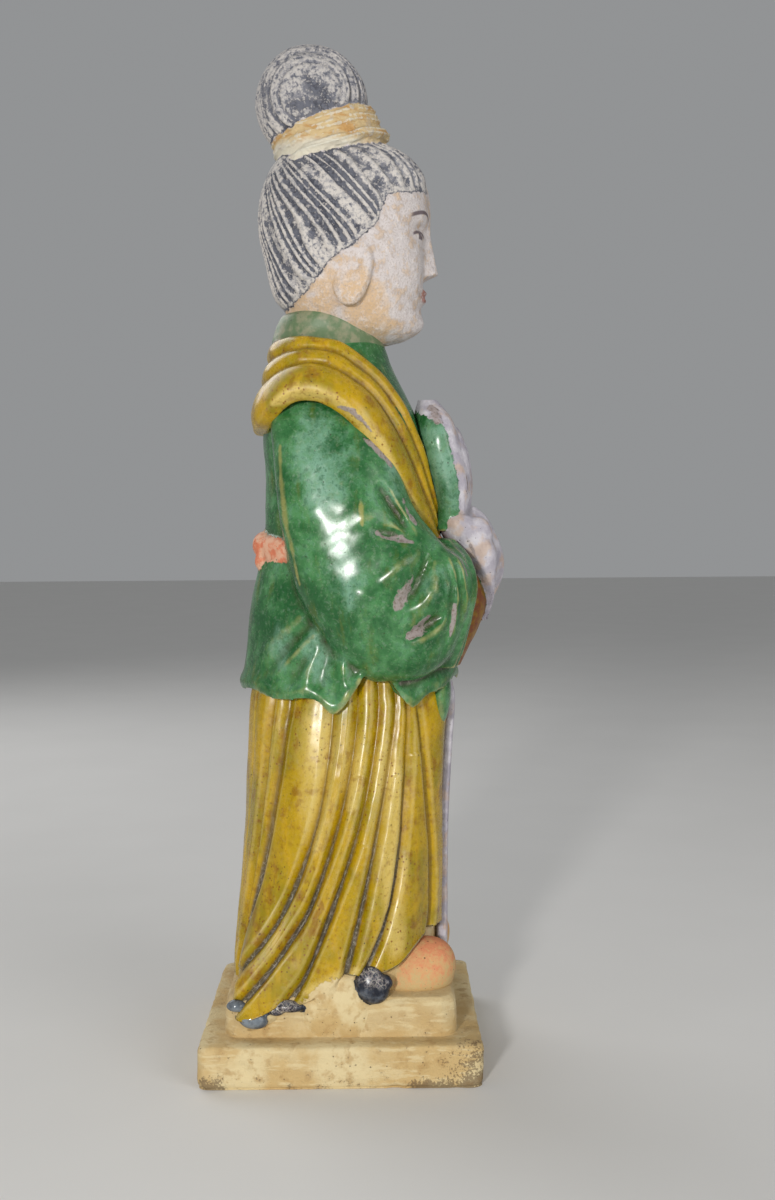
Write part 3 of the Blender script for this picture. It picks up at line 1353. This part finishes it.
def glazed_finish(name, colours, zones, dark_below=None):
    """Glazes that meet at ragged borders with a bare strip between; thin and pale on ridges,
    grey-brown and matt in grooves, and missing in the marked strokes. Grooves are fully dark below
    one height and hardly dark above another, if they are given."""
    finish = Finish(name, colours)
    noise, attribute = finish.noise, finish.attribute
    narrow, broad = attribute("narrow_hollow"), attribute("broad_hollow")
    ragged, fine, earth = noise(1.6, 5), noise(0.45, 2), noise(0.8, 5)
    (colour, roughness), *layers = glaze_layers(finish, zones)
    border = None
    for zone, (over, over_roughness) in zip(zones[1:], layers):
        share = zone_share(finish, zone, ragged)
        colour = finish.coats(colour, (over, share))
        roughness = share * (over_roughness - roughness) + roughness
        if zone in ("green", "dusty"):
            border = abs(attribute(zone) + (ragged - 0.5) - 0.5).between(0.3, 0.1)
    matt_share = roughness.between(0.3, 0.6)
    gloss = 1 - matt_share
    ridge = (-narrow + (ragged - 0.5) * 0.8).between(0.3, 1.5) * gloss
    if "drop" in zones:
        ridge = ridge * (1 - attribute("drop"))
    pool = (broad + (ragged - 0.5) * 0.8).between(0.15, 1.5)
    flank = (narrow + (ragged - 0.5) * 0.5).between(0.2, 1.5)
    hollow = (narrow + (ragged - 0.5) * 0.7).between(1.3, 2.6)
    colour = finish.coats(colour, ("thin", ridge * 0.6), ("shade", pool * 0.6))
    if "amber" in zones:
        colour = finish.coats(colour, ("amber_deep", flank * 0.35))
    if dark_below is not None:
        _, _, z = finish.parts()
        hollow = hollow * (z.between(dark_below[1], dark_below[0]) * 0.95 + 0.05)
    specks = finish.spots(2.2, 0.26) * noise(7, 2).between(0.42, 0.56)
    specks = specks.most(finish.spots(1.1, 0.13) * noise(5, 2).between(0.42, 0.56))
    bare = (attribute("bare") * 1.15 + (ragged - 0.5) * 1.3).between(0.42, 0.6)
    if border is not None:
        bare = bare.most(border * noise(4, 3).between(0.4, 0.56) * 0.85)
    dust = noise(1.1, 5).between(0.5, 0.72) * gloss
    silt = finish.coats("groove", ("bare", ragged.between(0.5, 0.66) * 0.5))
    body = finish.coats("bare", ("bare_dark", earth.between(0.48, 0.66)), ("groove", hollow * 0.55))
    colour = finish.coats(
        colour,
        (silt, hollow * 0.85),
        ("dust", finish.crazing(2.2) * hollow * 0.45),
        ("speck", specks * 0.75),
        (body, bare * 0.92),
        ("dust", dust * 0.08),
    )
    matt = bare.most(hollow * 0.5)
    roughness = roughness + attribute("stipple").between(0.0, 0.8) * 0.16
    roughness = (0.82 - roughness) * matt + roughness + dust * 0.07 + (fine - 0.5) * 0.05
    height = noise(6, 2) * 0.2 + noise(1.6, 2) * 0.025 + fine * 0.018
    height = height - specks * 0.08 + bare * earth * 0.4
    height = height + matt_share * (earth * 0.4 + ragged * 0.25)
    return finish.shader(colour, roughness, height, 0.35)


def face_paint(finish, place, ragged):
    """Shares of the brows, the eyes and the lips: bands about lines that bend with the square of
    the distance from the middle of each."""
    x, y, height = place
    away = abs(x)
    from_eye = away - EYE_SPACING
    brow_line = abs(height - (BROWS + 1.2) + (away - 7.0) * (away - 7.0) * 0.055)
    brow = brow_line.between(0.75, 0.3) * away.between(1.9, 2.9) * away.between(12.6, 11.4)
    eye_line = abs(height - (EYES + 0.9) + from_eye * from_eye * 0.075)
    eye = eye_line.between(0.6, 0.2) * abs(from_eye).between(3.9, 3.0)
    iris = abs(from_eye).between(1.5, 1.1) * abs(height - EYES + 0.1).between(1.1, 0.7)
    dark = (brow.most(eye, iris) * y.between(-12.0, -15.0) * ragged.between(0.2, 0.42)).clamped()
    lips = abs(height - MOUTH).between(2.0, 1.3) * away.between(4.6, 3.4) * y.between(-20.0, -22.0)
    return dark, lips * ragged.between(0.25, 0.5)


def painted_finish(name, colours):
    """Head: white slip with ochre stains, painted brows, eyes and lips, and worn slate paint on the
    hair that stays in the grooves."""
    finish = Finish(name, colours)
    noise, attribute = finish.noise, finish.attribute
    narrow, broad = attribute("narrow_hollow"), attribute("broad_hollow")
    ragged, fine, speckle = noise(1.3, 5), noise(0.5, 3), noise(0.9, 5)
    cloud, patch = noise(8, 5), noise(2.6, 6)
    x, y, z = finish.parts()
    height = z - STEP_TOP
    low = height.between(196.0, 180.0) * y.between(-19.0, -8.0)
    stained = (low * 0.75 + (cloud - 0.5) * 2.0 + (patch - 0.5) * 1.6).between(0.2, 0.75)
    smudge = attribute("hair") * 2.2 + (patch - 0.5) * 2.6 + (ragged - 0.5) * 2.0
    skin = finish.coats(
        "skin",
        ("skin_shade", patch.between(0.46, 0.62) * 0.8),
        ("skin_ochre", stained * 0.85),
        ("skin_bright", (ragged + (-broad) * 0.12).between(0.5, 0.66) * 0.6),
        ("bare_dark", finish.spots(1.9, 0.16) * 0.5),
        ("skin_shade", fine.between(0.5, 0.66) * 0.6),
        ("skin_ochre", (patch + (ragged - 0.5) * 0.4).between(0.54, 0.64) * 0.4),
        ("slate_pale", smudge.between(0.5, 1.5) * y.between(-16.0, -10.0) * 0.6),
    )
    crown = y.between(4.0, -14.0) * height.between(200.0, 214.0)
    in_bun = height.between(226.0, 230.0)
    kept = attribute("painted").between(0.0, 0.9)
    cloudy = (patch - 0.5) * 3.8 + (cloud - 0.5) * 2.6 + (ragged - 0.5) * 2.4
    cloudy = cloudy + (fine - 0.5) * 2.2 - (1 - attribute("hair")) * 2.0 - kept * 1.0
    worn = cloudy - narrow * (1.7 - in_bun * 0.7) - crown * 0.25 - in_bun * 0.1 + 0.75
    worn = worn.between(-0.1, 1.0)
    paled = in_bun * (1 - kept) * ragged.between(0.38, 0.52) * 0.7
    grey = (worn * 0.8).most(paled, crown * patch.between(0.4, 0.54) * 0.8)
    cream = worn * (ragged + worn * 0.08).between(0.38, 0.56) * (1 - in_bun * 0.25)
    cream = cream * (1 - speckle.between(0.5, 0.58) * 0.55)
    hair = finish.coats(
        "slate",
        ("slate_deep", ragged.between(0.42, 0.6)),
        ("slate_pale", grey),
        ("worn", cream.most(speckle.between(0.42, 0.36) * 0.55)),
    )
    streaks = noise(4, 6, finish.stretched(0.7, 0.7, 2.6))
    tie = finish.coats(
        "tie",
        ("tie_stain", streaks.between(0.48, 0.62) * 0.8),
        ("tie_pale", (ragged - narrow * 0.16).between(0.5, 0.64) * 0.7),
        ("tie_pale", (height + (cloud - 0.5) * 5).between(223.6, 221.0) * 0.85),
        ("skin_shade", (patch - fine * 0.2).between(0.46, 0.56) * 0.35),
    )
    dark, lips = face_paint(finish, (x, y, height), ragged)
    crack = (attribute("bare") + (fine - 0.5) * 0.4).between(0.5, 0.75)
    dirt = narrow + (ragged - 0.5) * 1.2 + in_bun * y.between(0.0, -4.0) * 1.4
    dirt = dirt.between(1.6, 3.2) * attribute("hair").between(0.8, 1.0)
    colour = finish.coats(
        skin,
        (hair, zone_share(finish, "hair", ragged, 1.5)),
        (tie, zone_share(finish, "tie", ragged, 0.8)),
        ("brow", dark * 0.85),
        ("lips", lips * 0.8),
        ("groove", (dirt * 0.5).most(crack * 0.8)),
    )
    relief = patch * 0.55 + ragged * 0.45 + fine * 0.3 + worn * 0.12 - crack * 0.3
    return finish.shader(colour, 0.82 - fine * 0.12, relief, 0.55)


def plinth_finish(name, colours):
    """Bare cream earthenware: cloudy, brushed and pitted, with dirt low on its sides."""
    finish = Finish(name, colours)
    noise = finish.noise
    cloud, patch, fine = noise(14, 5), noise(3.5, 6), noise(0.6, 4)
    brushed = noise(1.6, 5, finish.stretched(0.2, 0.2, 1))
    _, _, z = finish.parts()
    stepped = z.between(12.0, 15.0) * (cloud + patch - 0.5).between(0.3, 0.6)
    dirt = finish.attribute("bare") * 0.55 + (patch - 0.5) * 1.3 + (fine - 0.5) * 1.6
    dirt = (dirt + z.between(5.0, 0.0) * 0.2).between(0.32, 0.55)
    pits = finish.spots(2.6, 0.25) * noise(7, 2).between(0.45, 0.58)
    colour = finish.coats(
        "clay",
        ("clay_pale", cloud.between(0.42, 0.6)),
        ("clay_dark", (patch.between(0.5, 0.66) * 0.6).most(stepped * 0.4)),
        ("clay_pale", brushed.between(0.53, 0.64) * 0.7),
        ("dirt", dirt * 0.75),
        ("dirt", pits * 0.7),
    )
    height = patch * 0.7 + fine * 0.35 - pits * 0.4 + brushed * 0.4 - dirt * 0.15
    return finish.shader(colour, 0.86 - fine * 0.1, height, 0.6)


# --------------------------------------------------------------- operators


# Each colour's use and its screen colour
COLOURS = {
    "green_deep": ("Green glaze where it is thick", 26, 84, 40),
    "green_middle": ("Green glaze of middle thickness", 74, 132, 78),
    "green_pale": ("Blue-green of thin green glaze", 116, 158, 134),
    "green_milky": ("Milky grains in the green glaze", 146, 178, 152),
    "olive": ("Yellowish runs in the green glaze", 96, 108, 34),
    "olive_pale": ("Olive line down the sleeve's edge", 158, 152, 84),
    "dusty": ("Dull green of the collar", 96, 118, 84),
    "dusty_pale": ("Pale patches of the collar", 134, 136, 108),
    "amber": ("Amber glaze", 178, 146, 8),
    "amber_deep": ("Amber glaze where it is thick", 138, 98, 4),
    "rust": ("Rust brown stipple in the amber glaze", 122, 66, 8),
    "amber_olive": ("Greenish clouds in the amber glaze", 140, 124, 8),
    "amber_bright": ("Bright runs in the amber glaze", 204, 160, 22),
    "straw": ("Amber glaze where it is thin", 206, 180, 96),
    "thin": ("Pale slip that shows through on ridges", 202, 184, 118),
    "groove": ("Grey-brown earth in grooves", 78, 74, 64),
    "shade": ("Dark tint where glaze pooled", 48, 50, 14),
    "speck": ("Dark specks in the glaze", 42, 34, 14),
    "dust": ("Pale dust on the glaze", 190, 184, 168),
    "bare": ("Clay where the glaze is missing", 154, 142, 140),
    "bare_dark": ("Dark patches of bare clay", 122, 108, 100),
    "slip": ("White slip", 202, 198, 204),
    "slip_shade": ("Lavender grey wear of the slip", 158, 152, 164),
    "stain": ("Ochre stain on the slip", 200, 160, 108),
    "coral": ("Coral red paint", 212, 122, 88),
    "coral_worn": ("Worn patches of the coral paint", 222, 172, 142),
    "peach": ("Pale clay of the shoes", 208, 158, 108),
    "russet": ("Reddish brown of the inner sleeves", 120, 64, 26),
    "drop": ("Blue-black drops of glaze", 28, 32, 44),
    "drop_milky": ("Milky blue of a thin drop", 138, 148, 156),
    "drop_pale": ("Blue-grey clouds in the drops", 92, 100, 112),
    "skin": ("White slip of the face", 204, 196, 194),
    "skin_shade": ("Greyish wear of the face", 176, 162, 154),
    "skin_ochre": ("Ochre clay that shows through the slip", 206, 174, 134),
    "skin_bright": ("Clean white slip", 222, 217, 216),
    "slate": ("Slate paint of the hair", 98, 100, 110),
    "slate_deep": ("Slate paint in the grooves", 66, 68, 78),
    "slate_pale": ("Slate paint worn thin", 146, 146, 152),
    "worn": ("Cream slip where the hair's paint wore off", 200, 194, 188),
    "tie": ("Buff paint of the tie", 200, 176, 132),
    "tie_stain": ("Ochre streaks of the tie", 184, 138, 76),
    "tie_pale": ("Whitish lower roll of the tie", 214, 210, 194),
    "brow": ("Dark plum of the brows and the eyes", 72, 54, 62),
    "lips": ("Brownish red of the lips", 150, 84, 70),
    "clay": ("Cream earthenware of the plinth", 196, 168, 116),
    "clay_pale": ("Lighter patches of the plinth", 214, 196, 152),
    "clay_dark": ("Darker patches of the plinth", 172, 138, 86),
    "dirt": ("Dirt on the plinth", 108, 88, 62),
}
# Voxels of the fused pieces, in millimetres
GRAINS = {"foot": 0.5, "coat": 0.575, "shawl": 0.48, "held": 0.4, "head": 0.44}


def label(name):
    """What the panel calls a property."""
    return name.replace("_", " ").capitalize()


def colour_property(name, description, *screen):
    return bpy.props.FloatVectorProperty(
        name=label(name),
        description=description,
        default=srgb(*screen),
        size=4,
        min=0,
        max=1,
        subtype="COLOR",
    )


def grain_property(name, voxel):
    return bpy.props.FloatProperty(
        name=label(name), description="Voxel of this piece's mesh", default=voxel * MM, unit="LENGTH"
    )


class AttendantColours(bpy.types.PropertyGroup):
    """Colours of the glazes, the slip, the paints and the clay."""

    __annotations__ = {name: colour_property(name, *row) for name, row in COLOURS.items()}


class AttendantSizes(bpy.types.PropertyGroup):
    """Grain of the fused meshes."""

    __annotations__ = {
        f"{piece}_grain": grain_property(f"{piece}_grain", voxel) for piece, voxel in GRAINS.items()
    }


SHAWL_LINE = [row[4:] for row in SHAWL_EDGES[2:8]]  # outer edge beside the shoulder

# Marks of a piece's finish: for each attribute, strokes of radius, then x, y and height in parts;
# those of the plinth count heights from its underside
COAT_MARKS = {
    "bare": [
        [
            1.2,
            [[-32.9, -10.5, 120], [-32.6, -13.2, 119.4], [-32.1, -15.6, 118.8], [-31.4, -19, 117.6]],
        ],
        [
            1.6,
            [[-33.6, -13.6, 100.2], [-34.4, -16, 102.6], [-34.4, -18.4, 105.6], [-33.9, -20, 109]],
        ],
        [1.5, [[-33.6, -18, 93.6], [-33.1, -20.9, 95.5], [-33.8, -23.5, 97.4], [-32.6, -26.6, 99]]],
        [0.6, [[-29.2, -28.6, 93.2], [-29.5, -29.5, 97], [-29.7, -30, 101], [-28.7, -30, 108]]],
        [0.9, [[-27, -16.6, 131], [-28, -18.6, 126], [-28, -20.4, 120.6]]],
        [1.1, [[-20, -16.4, 131.6], [-25, -13.4, 137], [-27, -10, 142], [-28, -6.4, 145.6]]],
        [0.8, [[-26, -29.4, 115], [-26, -32.4, 110], [-26, -33.6, 104]]],
    ],
    "thin": [
        [6.2, [[-26, 4.8, 148], [-30, 3, 138], [-32.4, 1.8, 126]]],
        [3.6, [[-33.4, 0.6, 120], [-34.4, -2, 112], [-34.4, -3.4, 102]]],
        [2.4, [[-33.5, -23.5, 103], [-31, -26, 110]]],
        [3.8, [[-27, 6.5, 95], [-27.4, 4.6, 84]]],
        [3, [[-20, 16, 96], [-22, 14, 86]]],
        [2.4, [[-20, -12, 145], [-28, -15, 128]]],
    ],
    "olive": [
        [1.3, [[-26, 14.8, 142], [-27.6, 14.4, 129], [-28.2, 12.8, 118], [-28.2, 9.8, 107]]],
        [0.7, [[-32.6, -5.4, 140], [-33, -6, 130], [-33.6, -6.6, 122]]],
    ],
}
SKIRT_MARKS = {
    "thin": [
        [4.6, [[-26, 5, 80], [-28, 6, 62], [-28.6, 7.4, 40]]],
        [4.4, [[-27, -13.6, 66], [-27.6, -15, 52], [-27.8, -14.4, 36], [-27, -15.6, 12]]],
        [2.6, [[-27, -21.6, 50], [-27, -22, 28]]],
        [1.6, [[-29.4, -4, 7.4], [-29.4, 2, 5], [-29.5, 9, 1.6]]],
        [2.4, [[-28, -5, 74], [-28.6, -3, 50]]],
    ],
    "olive": [[2.6, [[-22, 20, 76], [-26, 10, 75], [-27, 2, 73], [-28, -8, 77], [-24, -22, 77]]]],
    "stipple": [
        [8, [[-27, 24, 44], [-29, 25, 22], [-29, 18, 4]]],
        [5, [[-29, 8, 30], [-29, 10, 10]]],
    ],
}
FOOT_MARKS = {
    "thin": [[3, [[-30, 20, -6], [-30, 24, -5], [-29, 28, -2]]]],
    "stipple": [
        [2.2, [[-30.4, -9.6, 6.6], [-30.4, -6, 6.8], [-30.4, -11.6, 4]]],
        [1.8, [[-30.4, 11, -1], [-30.4, 19, -2]]],
    ],
}
SHAWL_MARKS = {
    "bare": [[0.8, [[-28.6, 9, 151.2], [-28.8, 4.1, 152], [-28.8, -4, 150.8], [-28, -10.7, 143.6]]]],
    "thin": [[1.6, SHAWL_LINE[:4]], [2, SHAWL_LINE[2:]]],
    "stipple": [[5, SHAWL_LINE[3:]]],
}
HEAD_MARKS = {
    "bare": [
        [0.5, [[-18, -10.4, 195], [-18.4, -11.2, 190.6], [-17.8, -10.6, 187], [-17, -8.4, 183.2]]],
        [0.5, [[-17, -8.4, 183.2], [-16, -6, 180.6], [-15, -4.6, 177]]],
    ],
    "painted": [
        [2.1, [[-14, 7, 237.6], [-14, 3.6, 234.4], [-14, 0.6, 231]]],
        [1.9, [[-13.6, 12, 230.8], [-14, 4, 230.6], [-13.4, -4, 230.6]]],
        [2.2, [[-9, 19.6, 243], [-10, 20.6, 236], [-9, 18.6, 228]]],
    ],
}
HELD_MARKS = {
    "bare": [
        [0.5, [[-7, -33.6, 148], [-8.4, -34, 143], [-9, -34.4, 137], [-8, -34.6, 131]]],
        [0.5, [[-9, -36, 122], [-10.6, -34.4, 118.6], [-10.6, -37, 112]]],
        [1.8, [[-7, -25, 154.5], [-11, -26, 151], [-12, -28.5, 148.5]]],
    ],
    "thin": [[11, [[-12, -29, 148], [-12, -29, 130]]]],
}
PLINTH_MARKS = {
    "bare": [
        [6, [[-36.7, -36.5, 12], [-36.7, -34, 5], [-36.7, -33, 0]]],
        [3.4, [[-36.7, -36, 0], [-36.7, -28, 0], [-36.7, -20, 0]]],
        [2.4, [[-36.7, 30, 0], [-36.7, 36, 2]]],
    ],
}
SKIRT_DARK_HEIGHTS = 42, 82  # grooves are fully dark below one and hardly dark above the other
HAND_WAVES = (15, 21), (5, 22)  # size in parts and seed of the coarse and the fine unevenness


def marked_share(points, strokes):
    """1 in the middle of each stroke, falling to 0 at twice its radius. The left side has the same
    strokes, as its mirror image."""
    folded = points.copy()
    folded[:, 0] = -np.abs(folded[:, 0])
    share = np.zeros(len(points))
    for radius, line in strokes:
        distance, along = nearest_on_line(folded, line)
        taper = 0.5 + 0.5 * np.sin(along * np.pi)
        share = np.maximum(share, 1 - distance / (2 * radius * taper))
    return share


def complete(piece, points, marks, finish):
    """Puts the marks and the finish on a piece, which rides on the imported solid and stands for
    it."""
    for mark, strokes in marks.items():
        write_attribute(piece.data, mark, marked_share(points, strokes))
    piece.data.shade_smooth()
    piece.data.materials.append(finish)
    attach(piece, BODY)
    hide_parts(NODE)


def dress(piece, zones, finish, marks, blur=14, unevenness=0.22, smoothing=3):
    """Smooths a piece, gives it the soft unevenness of handwork, blurs its zones and marks its
    hollows."""
    surface = Surface(piece)
    surface.smooth(smoothing)
    coarse, fine = (ripple(surface.points, *wave) for wave in HAND_WAVES)
    surface.move_out(coarse * unevenness + fine * unevenness * 0.25 - unevenness)
    for zone in zones:
        write_attribute(piece.data, zone, surface.blurred(surface.attribute(zone), blur))
    surface.mark_hollows()
    complete(piece, surface.points, marks, finish)


class AddPlinth(bpy.types.Operator):
    """Build the two-step plinth of bare earthenware"""

    bl_idname = "attendant.add_plinth"
    bl_label = "Plinth"

    def execute(self, context):
        piece = plinth("plinth")
        points = Surface(piece).points + [0, 0, STEP_TOP]
        finish = plinth_finish("bare_earthenware", context.scene.attendant_colours)
        complete(piece, points, PLINTH_MARKS, finish)
        return {"FINISHED"}


class AddSkirt(bpy.types.Operator):
    """Build the pleated skirt"""

    bl_idname = "attendant.add_skirt"
    bl_label = "Skirt"

    def execute(self, context):
        zones = ["amber", "clay"]
        finish = glazed_finish(
            "skirt_glaze", context.scene.attendant_colours, zones, SKIRT_DARK_HEIGHTS
        )
        piece = laid("skirt", [skirt()])
        close_ends(piece)
        dress(piece, zones, finish, SKIRT_MARKS, smoothing=0)
        return {"FINISHED"}


class FusedPiece:
    """Step that fuses one piece from its forms and dresses it. Its class says the piece's name, the
    kind that its grain and its glaze are called by, its zones, marks and forms, and how dress()
    works it."""

    work = {}

    def finish(self, colours):
        return glazed_finish(f"{self.kind}_glaze", colours, self.zones)

    def execute(self, context):
        scene = context.scene
        finish = self.finish(scene.attendant_colours)
        voxel = getattr(scene.attendant_sizes, f"{self.kind}_grain")
        piece = fused(self.piece_name, self.forms(), voxel)
        dress(piece, self.zones, finish, self.marks, **self.work)
        return {"FINISHED"}


class AddFeet(FusedPiece, bpy.types.Operator):
    """Build what shows below the skirt: the clay, the toes of the shoes, the drops and the ribbon"""

    bl_idname = "attendant.add_feet"
    bl_label = "Shoes, ribbon and drops"
    piece_name, kind = "feet", "foot"
    zones, marks = ["clay", "green", "slip", "shoe", "drop"], FOOT_MARKS
    forms = staticmethod(foot_forms)
    work = {"blur": 6, "unevenness": 0.1, "smoothing": 8}


class AddCoat(FusedPiece, bpy.types.Operator):
    """Build the jacket, its wide sleeves and the sash"""

    bl_idname = "attendant.add_coat"
    bl_label = "Coat"
    piece_name, kind = "coat", "coat"
    zones, marks = ["green", "coral"], COAT_MARKS
    forms = staticmethod(coat_forms)
    work = {"smoothing": 10}


class AddShawl(FusedPiece, bpy.types.Operator):
    """Build the rolled shawl and the collar"""

    bl_idname = "attendant.add_shawl"
    bl_label = "Shawl and collar"
    piece_name, kind = "shawl", "shawl"
    zones, marks = ["amber", "dusty"], SHAWL_MARKS
    forms = staticmethod(shawl_forms)
    work = {"smoothing": 12}


class AddHeld(FusedPiece, bpy.types.Operator):
    """Build the held object, the cloth over the hands and the inner sleeves"""

    bl_idname = "attendant.add_held"
    bl_label = "Held object and cloth"
    piece_name, kind = "held_object", "held"
    zones, marks = ["green", "slip", "russet"], HELD_MARKS
    forms = staticmethod(held_forms)
    work = {"blur": 10, "unevenness": 0.3}


class AddHead(FusedPiece, bpy.types.Operator):
    """Build the head, its combed hair, the tie and the bun"""

    bl_idname = "attendant.add_head"
    bl_label = "Head and hair"
    piece_name, kind = "head", "head"
    zones, marks = ["hair", "skin", "tie"], HEAD_MARKS
    forms = staticmethod(head_forms)
    work = {"blur": 8, "unevenness": 0.12, "smoothing": 1}

    def finish(self, colours):
        return painted_finish("painted_slip", colours)


# The camera looks along +X, a little to its right and down, and is hardly rolled
CAMERA_PLACE, CAMERA_TURN = (-0.39698, -0.0097, 0.14497), (1.513695, 0.006889, -1.57979)
CAMERA_LENS, SENSOR_WIDTH, CLIP_START, CLIP_END = 43.5, 36, 0.01, 20
# Name, place and size in metres, power in watts, colour
LIGHTS = [
    ("key", (-0.8, 0.215, 0.255), 0.08, 4.2, (1, 0.98, 0.95)),
    ("fill", (-0.55, -0.5, 0.35), 0.5, 1.7, (1, 1, 1)),
    ("back", (0.5, 0.4, 0.6), 0.6, 2.0, (1, 1, 1)),
]
LIGHT_TARGET = (0, 0, 0.14)
WORLD_COLOUR, WORLD_STRENGTH = (0.96, 0.98, 1, 1), 0.3
PAPER, PALE_PAPER = (0.7, 0.69, 0.67, 1), (0.74, 0.73, 0.71, 1)
FLOOR_HALF = 3.0


def area_light(name, place, size, power, colour):
    """Round soft light that faces the middle of the figure."""
    lamp = bpy.data.lights.new(name, "AREA")
    lamp.shape, lamp.size, lamp.energy, lamp.color = "DISK", size, power, colour
    holder = linked(name, lamp)
    holder.location = place
    aim = Vector(LIGHT_TARGET) - Vector(place)
    holder.rotation_euler = aim.to_track_quat("-Z", "Y").to_euler()


class AddStage(bpy.types.Operator):
    """Add the pale floor, the soft lights and the camera"""

    bl_idname = "attendant.add_stage"
    bl_label = "Stage"

    def execute(self, context):
        scene = context.scene
        corners = np.array([[-1, -1, 0], [1, -1, 0], [1, 1, 0], [-1, 1, 0]]) * FLOOR_HALF
        floor = mesh_object("floor", corners, np.array([[0, 1, 2, 3]]))
        paper = Finish("floor_paper")
        cloud = paper.noise(60, 2)
        tone = paper.coats(PAPER, (PALE_PAPER, cloud))
        floor.data.materials.append(paper.shader(tone, 0.9, cloud, 0.05))
        scene.world = bpy.data.worlds.new("studio")
        scene.world.use_nodes = True
        background = scene.world.node_tree.nodes["Background"].inputs
        background["Color"].default_value = WORLD_COLOUR
        background["Strength"].default_value = WORLD_STRENGTH
        scene.view_settings.view_transform = "Standard"
        for light in LIGHTS:
            area_light(*light)
        lens = bpy.data.cameras.new("camera")
        lens.lens, lens.sensor_width = CAMERA_LENS, SENSOR_WIDTH
        lens.clip_start, lens.clip_end = CLIP_START, CLIP_END
        scene.camera = linked("camera", lens)
        place, turn = Vector(CAMERA_PLACE), Euler(CAMERA_TURN)
        scene.camera.matrix_world = Matrix.LocRotScale(place, turn, None)
        return {"FINISHED"}


OPERATORS = [AddStage, AddPlinth, AddSkirt, AddFeet, AddCoat, AddShawl, AddHeld, AddHead]


class AttendantPanel(bpy.types.Panel):
    """Sidebar panel that lists the steps in order."""

    bl_idname = "VIEW3D_PT_attendant"
    bl_label = "Glazed tomb attendant"
    bl_space_type = "VIEW_3D"
    bl_region_type = "UI"
    bl_category = "Attendant"

    def draw(self, context):
        for operator in OPERATORS:
            self.layout.operator(operator.bl_idname)


CLASSES = [AttendantColours, AttendantSizes, *OPERATORS, AttendantPanel]


def register():
    for item in CLASSES:
        bpy.utils.register_class(item)
    bpy.types.Scene.attendant_colours = bpy.props.PointerProperty(type=AttendantColours)
    bpy.types.Scene.attendant_sizes = bpy.props.PointerProperty(type=AttendantSizes)


def unregister():
    del bpy.types.Scene.attendant_colours
    del bpy.types.Scene.attendant_sizes
    for item in reversed(CLASSES):
        bpy.utils.unregister_class(item)


def main():
    register()
    for operator in OPERATORS:
        group, step = operator.bl_idname.split(".")
        getattr(getattr(bpy.ops, group), step)()


if __name__ == "__main__":
    main()
